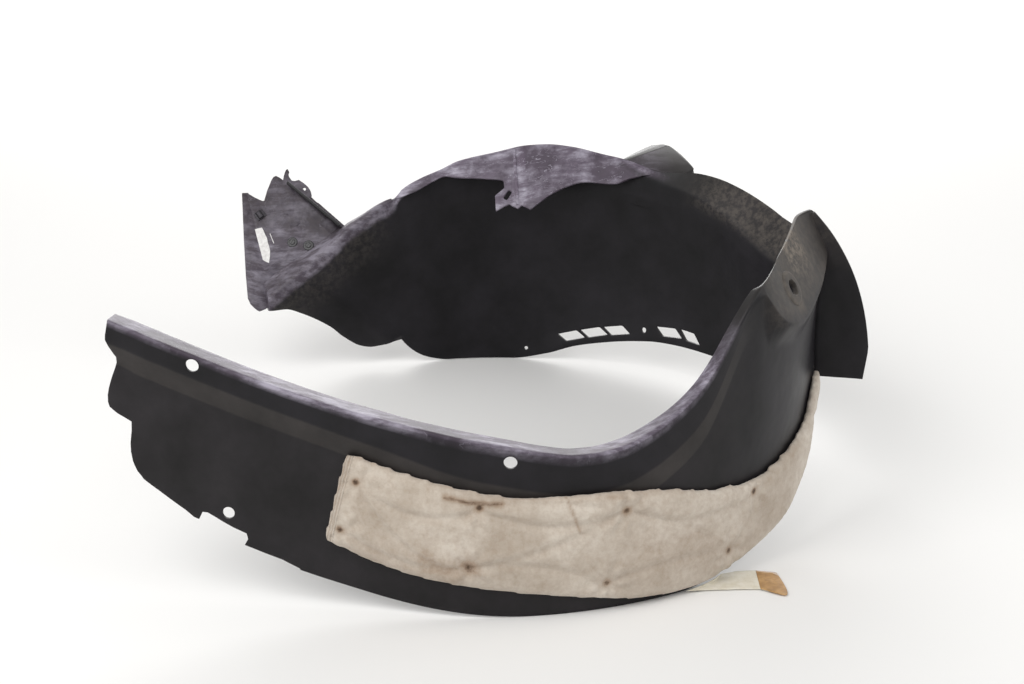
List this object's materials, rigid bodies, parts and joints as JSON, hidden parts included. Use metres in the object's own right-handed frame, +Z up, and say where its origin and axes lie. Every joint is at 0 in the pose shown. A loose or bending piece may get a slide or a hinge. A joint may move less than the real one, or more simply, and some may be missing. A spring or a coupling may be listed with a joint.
{
  "type": "mudguard",
  "caption": "Moulded plastic mudguard that lines a car's front wheel arch, with a soft felt pad on its outer side, a raised fixing boss, a side fin and vent windows.",
  "frame": {"origin": "middle of the part's length and width, at the floor it lies on", "axes": "+X from the arch's open end to its crown, +Y from the limb with the felt pad to the other limb, +Z up along the wheel's axis, with the part lying on its outer edge"},
  "size_m": [0.7776, 0.7837, 0.3287],
  "materials": {
    "moulding": "satin black polypropylene, dusty on its upper faces",
    "felt": "off-white needle felt, wrinkled and stained",
    "rivet": "satin black",
    "clip": "dark coated spring steel",
    "seal": "matt black rubber",
    "strip": "off-white paper strip with a yellowed end"
  },
  "bodies": {
    "root": {"liner_shell": "moulding", "felt_pad": "felt", "push_rivets": "rivet", "edge_clip": "clip", "edge_seal": "seal", "strip_tail": "strip"}
  },
  "joints": []
}
